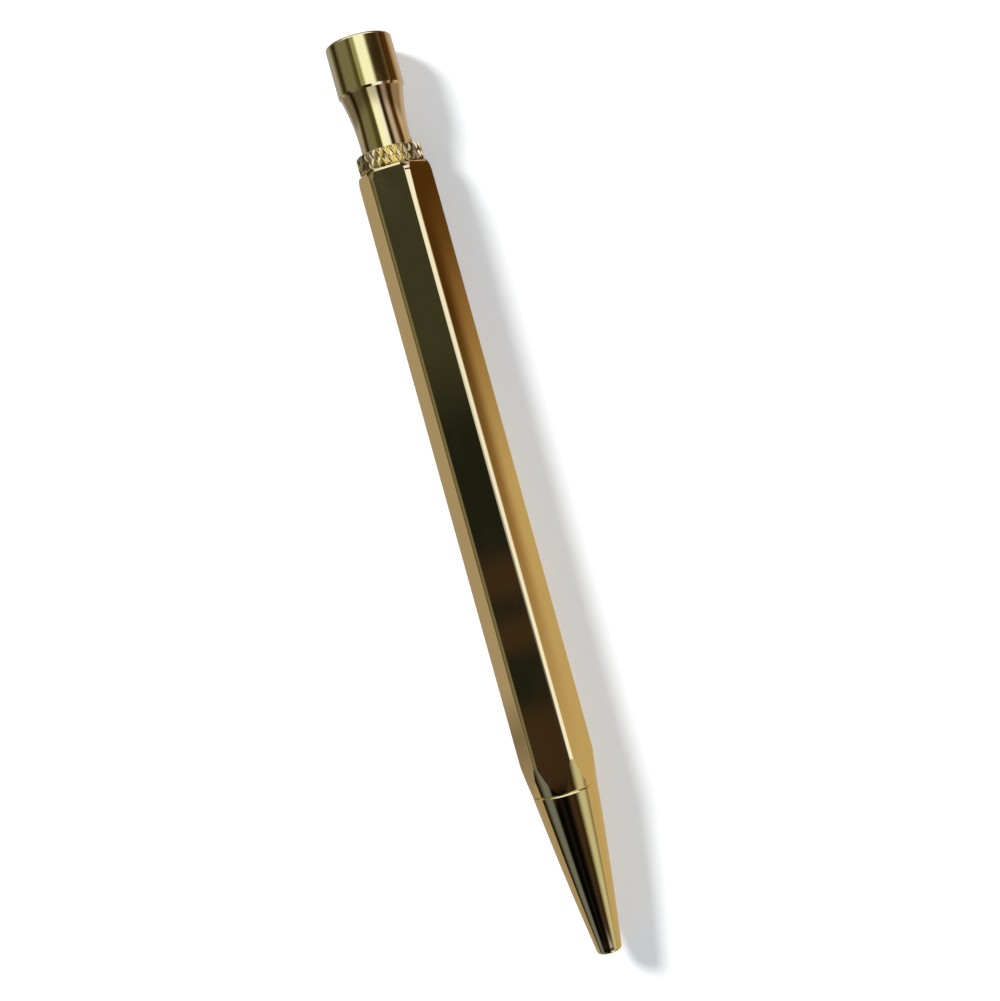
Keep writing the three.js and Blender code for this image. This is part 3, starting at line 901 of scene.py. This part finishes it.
@dataclass
class Nose:
    """The turned cone that screws onto the front insert."""

    length: float = 25.2
    end_radius: float = 1.85
    end_round: float = 0.45
    rim_radius: float = 4.98
    rim_drop: float = 0.2
    rim_length: float = 0.29
    swell: float = 0.14
    hole: float = 1.3
    seat: float = 6.5
    spring_bore: Span = (13.45, 2.25)
    spring_room: Span = (14.4, 3.2)
    socket: Span = (18.9, 3.75)
    steps: int = 40

    def radius(self, station: float) -> float:
        """Return the cone's radius at a station."""
        share = station / self.length
        straight = self.end_radius + (self.rim_radius - self.end_radius) * share
        return straight + 4 * self.swell * share * (1 - share)

    def build(self, shop: FinishShop) -> None:
        """Model and dress the nose cone, its bores given as front ends and radii."""
        last = self.length - self.rim_length
        front = rounded_end(self.end_round, self.radius(self.end_round), -self.end_round)
        stations = [self.end_round + (last - self.end_round) * share for share in shares(self.steps)]
        outline = [
            (0.0, self.hole),
            *reversed(front[1:]),
            *((station, self.radius(station)) for station in stations),
            (self.length, self.radius(last) - self.rim_drop),
            (self.length, self.socket[1]),
            self.socket,
            (self.socket[0], self.spring_room[1]),
            self.spring_room,
            self.spring_bore,
            (self.seat, self.spring_bore[1]),
            (self.seat, self.hole),
        ]
        shop.dress(turn("turned_nose_cone", outline), POLISHED_TURNED, "nose", "nose_cone")


@dataclass
class FrontInsert:
    """The sleeve in the barrel whose stub the nose cone screws onto."""

    joint: float = 25.2
    depth: float = 8.0
    stub: float = 6.0
    stub_radius: float = 3.7
    seat_radius: float = 3.9
    bore_radius: float = 3.2
    chamfer: float = 0.3
    play: float = 0.05
    grooves: int = 6
    first_groove: float = 0.6
    pitch: float = 0.75
    groove_depth: float = 0.12
    groove_floor: Span = (0.4, 0.6)

    def build(self, shop: FinishShop) -> None:
        """Model and dress the insert, its thread shown as shallow grooves."""
        front = self.joint - self.stub
        outline = [
            (front, self.bore_radius),
            (front, self.stub_radius - self.chamfer),
            (front + self.chamfer, self.stub_radius),
        ]
        for groove in range(self.grooves):
            station = front + self.first_groove + self.pitch * groove
            outline.append((station, self.stub_radius))
            for share in self.groove_floor:
                outline.append((station + self.pitch * share, self.stub_radius - self.groove_depth))
        outline += [
            (self.joint - self.chamfer, self.stub_radius),
            (self.joint + self.play, self.stub_radius),
            (self.joint + self.play, self.seat_radius),
            (self.joint + self.depth, self.seat_radius),
            (self.joint + self.depth, self.bore_radius),
        ]
        piece = turn("threaded_front_insert", outline, BORE_SIDES)
        shop.dress(piece, MACHINED, "barrel_assembly", "front_insert")


@dataclass
class Collar:
    """The ring with the diamond knurl, screwed into the barrel."""

    start: float = 120.45
    end: float = 123.05
    spigot_end: float = 115.7
    radius: float = 4.95
    chamfer: float = 0.2
    depth: float = 0.3
    tip_cut: float = 0.26
    count: int = 28
    half_rows: int = 2
    spigot_radius: float = 4.4
    bore: float = 4.0
    mouth: float = 4.145
    softening: float = 0.06
    least_edge: float = 12
    overlap: float = 0.1
    spare: float = 1.0

    def is_crossing(self, _: bpy.types.Mesh, vertex: bpy.types.MeshVertex) -> bool:
        """Tell whether a corner of the ring lies where two grooves cross."""
        y, z = vertex.co.y / MM, vertex.co.z / MM - AXIS_HEIGHT
        half_row = (self.end - self.start) / self.half_rows
        row = round((PEN_LENGTH / 2 - vertex.co.x / MM - self.start) / half_row)
        column = round(math.atan2(y, z) / (math.pi / self.count))
        return (row + column) % 2 == 0

    def diamonds(self) -> bpy.types.Object:
        """Return a ring of raised diamonds between two crossing sets of grooves."""
        tip = self.radius + self.tip_cut
        width = self.end - self.start
        rings = [(self.start + width * share, tip) for share in shares(self.half_rows)]
        piece = turn("diamond_knurled_collar", rings, 2 * self.count, solid=True)
        choose(piece, "VERT", self.is_crossing)
        sink = (self.radius - self.depth) / tip
        bpy.ops.transform.resize(value=(1, sink, sink), center_override=axis_point(0))
        bpy.ops.mesh.select_all(action="SELECT")
        bpy.ops.mesh.quads_convert_to_tris(quad_method="SHORTEST_DIAGONAL", ngon_method="BEAUTY")
        leave_edit(piece)
        return piece

    def build(self, shop: FinishShop) -> None:
        """Model and dress the collar."""
        piece = self.diamonds()
        rim = self.radius - self.chamfer
        blank = [
            (self.start, rim),
            (self.start + self.chamfer, self.radius),
            (self.end - self.chamfer, self.radius),
            (self.end, rim),
        ]
        cut(piece, turn("collar_blank", blank, 2 * self.count, solid=True), CutMode.KEEP_INSIDE)
        soften(piece, self.softening, self.least_edge)
        spigot = [(self.spigot_end, self.spigot_radius), (self.start + self.overlap, self.spigot_radius)]
        cut(piece, turn("spigot", spigot, BORE_SIDES, solid=True), CutMode.ADD)
        bore = [
            (self.spigot_end - self.spare, self.bore),
            (self.start, self.bore),
            (self.start, self.mouth),
            (self.end + self.spare, self.mouth),
        ]
        cut(piece, turn("collar_bore", bore, BORE_SIDES, solid=True), CutMode.TAKE_AWAY)
        shop.dress(piece, KNURLED, "barrel_assembly", "knurled_collar", self.least_edge)


@dataclass
class PushButton:
    """The turned knob: a straight cap on a waisted neck."""

    neck_bottom: float = 121.45
    flare_start: float = 124.55
    neck_top: float = 132.0
    top: float = 140.0
    neck_radius: float = 3.825
    flare_radius: float = 4.75
    cap_radius: float = 5.0
    rim_bevel: float = 0.24
    rim_length: float = 0.35
    edge_round: float = 0.4
    bore_radius: float = 2.35
    bore_depth: float = 7.0
    chamfer: float = 0.3
    flare_steps: int = 24

    def build(self, shop: FinishShop) -> None:
        """Model and dress the button."""
        flare = []
        for share in shares(self.flare_steps):
            station = self.flare_start + (self.neck_top - self.flare_start) * share
            flare.append((station, self.neck_radius + (self.flare_radius - self.neck_radius) * share * share))
        outline = [
            (self.neck_bottom + self.bore_depth, self.bore_radius),
            (self.neck_bottom, self.bore_radius),
            (self.neck_bottom, self.neck_radius - self.chamfer),
            (self.neck_bottom + self.chamfer, self.neck_radius),
            *flare,
            (self.neck_top, self.cap_radius - self.rim_bevel),
            (self.neck_top + self.rim_length, self.cap_radius),
            *rounded_end(self.top - self.edge_round, self.cap_radius, self.edge_round),
        ]
        piece = turn("waisted_push_button", outline, solid=True)
        shop.dress(piece, POLISHED_TURNED, "button", "push_button")


@dataclass
class Mechanism:
    """The plastic cams and their housing, which keep the model's own shapes."""

    pieces: tuple[tuple[str, Plastic], ...] = (
        ("cam_guide", PALE_ACETAL),
        ("push_cam", BLACK_ACETAL),
        ("rotor_cam", BLACK_ACETAL),
        ("refill_end_cap", PALE_ACETAL),
        ("ink_column", BLUE_INK),
    )

    def build(self, shop: FinishShop) -> None:
        """Dress the cams, the guide, the plug and the ink."""
        for node, finish in self.pieces:
            shop.repaint(node, finish)


@dataclass
class Refill:
    """The metal refill: ball, point, neck and tube, set back by its retraction."""

    retraction: float = 1.8
    ball_radius: float = 0.5
    ball_cuts: int = 9
    ball_edge: float = 40
    socket_steps: int = 6
    lip: float = 0.15
    lip_wall: float = 0.05
    channel: float = 0.25
    point_radius: float = 1.15
    point_cone: float = 2.6
    point_length: float = 11.0
    point_seat: float = 3.0
    feed_radius: float = 1.4
    feed_length: float = 7.5
    feed_socket: float = 0.775
    feed_channel: float = 0.5
    plug_length: float = 2.5
    tube_radius: float = 2.95
    tube_front: float = 0.7
    tube_front_angles: Triple = (0.4, 0.8, 1.2)
    wall: float = 0.4
    play: float = 0.05
    sides: int = 64

    def turn_piece(self, name: str, outline: Outline) -> bpy.types.Object:
        """Turn a piece whose stations are counted from the refill's own tip.

        Args:
            name: The piece's name.
            outline: Those stations, and radii.

        Returns:
            The mesh object.
        """
        moved = [(station + self.retraction, radius) for station, radius in outline]
        return turn(name, moved, self.sides)

    def ball(self, shop: FinishShop) -> None:
        """Model the ball by rounding a divided cube."""
        centre = axis_point(self.retraction + self.ball_radius)
        size = 2 * self.ball_radius * MM
        piece = begin("rolling_ball", bpy.ops.mesh.primitive_cube_add, size=size, location=centre)
        edit_all()
        bpy.ops.mesh.subdivide(number_cuts=self.ball_cuts)
        bpy.ops.transform.tosphere(value=1.0)
        leave_edit(piece)
        reach = max((vertex.co - centre).length for vertex in piece.data.vertices)
        fit = Matrix.Scale(self.ball_radius * MM / reach, 4)
        piece.data.transform(Matrix.Translation(centre) @ fit @ Matrix.Translation(-centre))
        shop.dress(piece, SPRING_STEEL, "refill", "writing_ball", self.ball_edge)

    def point(self, shop: FinishShop) -> None:
        """Turn the metal point with its socket."""
        cup = self.ball_radius + self.play
        steepest = math.asin(self.channel / cup)
        socket = []
        for share in shares(self.socket_steps):
            angle = steepest + (math.pi / 2 - steepest) * share
            socket.append((self.ball_radius + cup * math.cos(angle), cup * math.sin(angle)))
        front = self.ball_radius - self.lip
        front_radius = math.sqrt(cup * cup - self.lip * self.lip)
        shank = self.point_length - self.point_seat
        outline = [
            (front, front_radius),
            (front, front_radius + self.lip_wall),
            (self.point_cone, self.point_radius),
            (shank, self.point_radius),
            (shank, self.point_radius - self.wall),
            (self.point_length, self.point_radius - self.wall),
            (self.point_length, self.channel),
            *socket,
        ]
        piece = self.turn_piece("turned_writing_point", outline)
        shop.dress(piece, REFILL_STEEL, "refill", "writing_point")

    def neck(self, shop: FinishShop) -> None:
        """Turn the neck that carries the point."""
        front = self.point_length - self.point_seat + self.play
        flange = self.point_length + self.feed_length + self.tube_front + self.play
        in_tube = self.tube_radius - self.wall - self.play
        outline = [
            (front, self.feed_socket),
            (front, self.point_radius),
            (self.point_length, self.point_radius),
            (self.point_length, self.feed_radius),
            (flange, self.feed_radius),
            (flange, in_tube),
            (flange + self.plug_length, in_tube),
            (flange + self.plug_length, self.feed_channel),
            (self.point_length + self.play, self.feed_channel),
            (self.point_length + self.play, self.feed_socket),
        ]
        shop.dress(self.turn_piece("turned_feed_neck", outline), MACHINED, "refill", "feed_neck")

    def tube(self, shop: FinishShop) -> None:
        """Turn the drawn tube with its rounded front."""
        start = self.point_length + self.feed_length
        end = PEN_LENGTH / 2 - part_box("refill_tube")[0].x / MM - self.retraction
        hole = self.feed_radius + self.play
        inner = self.tube_radius - self.wall
        front = []
        for angle in self.tube_front_angles:
            station = start + self.tube_front * (1 - math.cos(angle))
            front.append((station, self.tube_radius - self.tube_front * (1 - math.sin(angle))))
        outline = [
            (start, hole),
            (start, self.tube_radius - self.tube_front),
            *front,
            (start + self.tube_front, self.tube_radius),
            (end, self.tube_radius),
            (end, inner),
            (start + self.tube_front, inner),
            (start + self.tube_front, hole),
        ]
        shop.dress(self.turn_piece("drawn_refill_tube", outline), REFILL_STEEL, "refill", "refill_tube")

    def build(self, shop: FinishShop) -> None:
        """Model and dress the refill's pieces."""
        self.ball(shop)
        self.point(shop)
        self.neck(shop)
        self.tube(shop)


@dataclass
class ReturnSpring:
    """The helical wire spring between the nose cone's shoulder and the refill."""

    start: float = 6.6
    end: float = 20.2
    wire: float = 0.4
    wire_sides: int = 12
    wire_edge: float = 40
    radius: float = 1.85
    turns: int = 9
    steps: int = 28
    travel: float = 5.5

    def build(self, shop: FinishShop) -> None:
        """Coil the wire step by step and close its two ends."""
        first = self.start + self.wire
        rise = self.end - self.start - 2 * self.wire
        piece = begin(
            "coiled_return_spring",
            bpy.ops.mesh.primitive_circle_add,
            vertices=self.wire_sides,
            radius=self.wire / 2 * MM,
            location=axis_point(first) + Vector((0, 0, self.radius * MM)),
            rotation=(math.pi / 2, 0, 0),
        )
        edit_all()
        count = self.turns * self.steps
        for _ in range(count):
            bpy.ops.mesh.extrude_region_move(TRANSFORM_OT_translate={"value": (-rise / count * MM, 0, 0)})
            bpy.ops.transform.rotate(
                value=2 * math.pi / self.steps, orient_axis="X", center_override=axis_point(first)
            )
        bpy.ops.mesh.select_all(action="SELECT")
        bpy.ops.mesh.fill_holes(sides=0)
        leave_edit(piece)
        shop.dress(piece, SPRING_STEEL, "refill", "return_spring", self.wire_edge)
        tuple(axis_point(self.end))
        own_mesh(piece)


# The stage


@dataclass
class Studio:
    """Floor, soft key light, the painted cards that the brass mirrors, and the camera."""

    floor_size: float = 8.0
    floor_level: float = -0.0002
    floor_grey: float = 0.9
    lift_colour: Triple = (0.91, 0.95, 1.0)
    lift_level: float = 0.385
    room_radius: float = 0.6
    room_length: float = 2.4
    hood_radius: float = 0.014
    hood_reach: Span = (-0.0625, -0.0545)
    card_sides: int = 96
    key_place: Triple = (-0.4, -0.4, 0.6)
    key_aim: Triple = (0.515, 0.422, -0.506)
    key_level: float = 0.6
    key_width: float = 14.0
    room_level: float = 1.0
    fill_level: float = 0.25
    view_tilt: float = 8.8
    sensor_roll: float = 2.0
    turn_in_view: float = 15.522
    distance: float = 0.232
    foot: float = -0.005667
    focal_length: float = 56.13
    sensor_width: float = 36.0
    shift: Span = (-0.0261, -0.0556)
    clip: Span = (0.01, 50.0)

    @staticmethod
    def only_reflected(card: bpy.types.Object, paint: bpy.types.Material) -> None:
        """Paint a card, and let it show in reflections and nowhere else.

        Args:
            card: The card.
            paint: Its material.
        """
        card.data.materials.append(paint)
        card.visible_camera = False
        card.visible_diffuse = False
        card.visible_shadow = False
        card.visible_transmission = False
        card.visible_volume_scatter = False

    def floor(self) -> None:
        """Lay the white floor that takes the pen's shadow."""
        plane = bpy.ops.mesh.primitive_plane_add
        piece = begin("floor", plane, size=self.floor_size, location=(0, 0, self.floor_level))
        sheet = NodeSheet("white_floor")
        paint = sheet.add("ShaderNodeBsdfDiffuse", {"Color": (self.floor_grey,) * 3})
        seen = sheet.add("ShaderNodeLightPath").outputs["Is Camera Ray"]
        level = sheet.math("MULTIPLY", seen, self.lift_level)
        lift = sheet.add("ShaderNodeEmission", {"Color": self.lift_colour, "Strength": level})
        both = sheet.add("ShaderNodeAddShader", {0: paint.outputs[0], 1: lift.outputs[0]})
        piece.data.materials.append(sheet.close(both))

    def cards(self) -> None:
        """Set up the glowing cards of painted reflection that the brass mirrors: the half-round room, its
        end, the hood and the table.
        """
        paint = RoomPaint()
        half = self.room_length / 2
        axis = AXIS_HEIGHT * MM
        self.half_round("reflected_room", self.room_radius, (-half, half), 0.0, paint.room())
        self.half_round("reflected_hood", self.hood_radius, self.hood_reach, axis, paint.hood(axis))
        end = begin(
            "reflected_room_end",
            bpy.ops.mesh.primitive_circle_add,
            vertices=self.card_sides,
            radius=self.room_radius,
            fill_type="NGON",
            location=(half, 0, 0),
            rotation=ALONG_THE_PEN,
        )
        self.only_reflected(end, paint.end())
        table = begin(
            "reflected_table",
            bpy.ops.mesh.primitive_plane_add,
            stretch=(self.room_length, 2 * self.room_radius, 1),
            size=1,
            location=(0, 0, self.floor_level / 2),
        )
        self.only_reflected(table, paint.table())

    def half_round(
        self, name: str, radius: float, reach: Span, height: float, paint: bpy.types.Material
    ) -> None:
        """Bend a card over the pen.

        Args:
            name: The card's name.
            radius: Its radius in metres.
            reach: Where it starts and ends along the pen.
            height: Height of its middle line.
            paint: Its material.
        """
        piece = begin(
            name,
            bpy.ops.mesh.primitive_cylinder_add,
            vertices=self.card_sides,
            radius=radius,
            depth=reach[1] - reach[0],
            end_fill_type="NOTHING",
            location=(sum(reach) / 2, 0, height),
            rotation=ALONG_THE_PEN,
        )
        choose(piece, "FACE", lambda mesh, face: face.center.z < 0)
        bpy.ops.mesh.delete(type="FACE")
        bpy.ops.object.mode_set(mode="OBJECT")
        self.only_reflected(piece, paint)

    def lights(self) -> None:
        """Hang the soft key light and set the plain light of the room."""
        clear_selection()
        bpy.ops.object.light_add(type="SUN", location=self.key_place)
        key = bpy.context.active_object
        key.name = "key_light"
        towards = Vector(self.key_aim).normalized()
        key.rotation_euler = towards.to_track_quat("-Z", "Y").to_euler()
        key.data.energy = self.key_level * math.pi / abs(towards.z)
        key.data.angle = math.radians(self.key_width)
        key.visible_glossy = False
        sheet = NodeSheet("plain_room", is_world=True)
        diffuse = sheet.add("ShaderNodeLightPath").outputs["Is Diffuse Ray"]
        ends = {"To Min": self.room_level, "To Max": self.fill_level}
        level = sheet.add("ShaderNodeMapRange", {"Value": diffuse, **ends}).outputs["Result"]
        light = sheet.add("ShaderNodeBackground", {"Color": (1, 1, 1), "Strength": level})
        bpy.context.scene.world = sheet.close(light)

    def camera(self) -> None:
        """Set the camera where the photograph was taken from."""
        clear_selection()
        tilt, spin = math.radians(self.view_tilt), math.radians(self.turn_in_view)
        place = Vector((self.foot, 0, AXIS_HEIGHT * MM))
        place += self.distance * Vector((0, math.sin(tilt), math.cos(tilt)))
        lean = math.radians(self.view_tilt - self.sensor_roll)
        back = Vector((0, math.sin(lean), math.cos(lean)))
        along, across = Vector((1, 0, 0)), Vector((0, math.cos(lean), -math.sin(lean)))
        right = math.sin(spin) * along + math.cos(spin) * across
        up = -math.cos(spin) * along + math.sin(spin) * across
        bpy.ops.object.camera_add()
        camera = bpy.context.active_object
        camera.name = "camera"
        rows = [(right[i], up[i], back[i], place[i]) for i in range(3)]
        camera.matrix_world = Matrix([*rows, (0, 0, 0, 1)])
        camera.data.lens = self.focal_length
        camera.data.sensor_width = self.sensor_width
        camera.data.shift_x, camera.data.shift_y = self.shift
        camera.data.clip_start, camera.data.clip_end = self.clip
        bpy.context.scene.camera = camera

    def build(self) -> None:
        """Set up the whole stage."""
        self.floor()
        self.cards()
        self.lights()
        self.camera()
        bpy.context.scene.view_settings.view_transform = "Standard"
        log.info("stage is set")


def main() -> None:
    """Build the stage and every sub-assembly in order."""
    logging.basicConfig(level=logging.INFO, format="%(name)s: %(message)s")
    shop = FinishShop()
    Studio().build()
    outside = (Barrel(), Nose(), FrontInsert(), Collar(), PushButton())
    for assembly in (*outside, Mechanism(), Refill(), ReturnSpring()):
        assembly.build(shop)


if __name__ == "__main__":
    main()
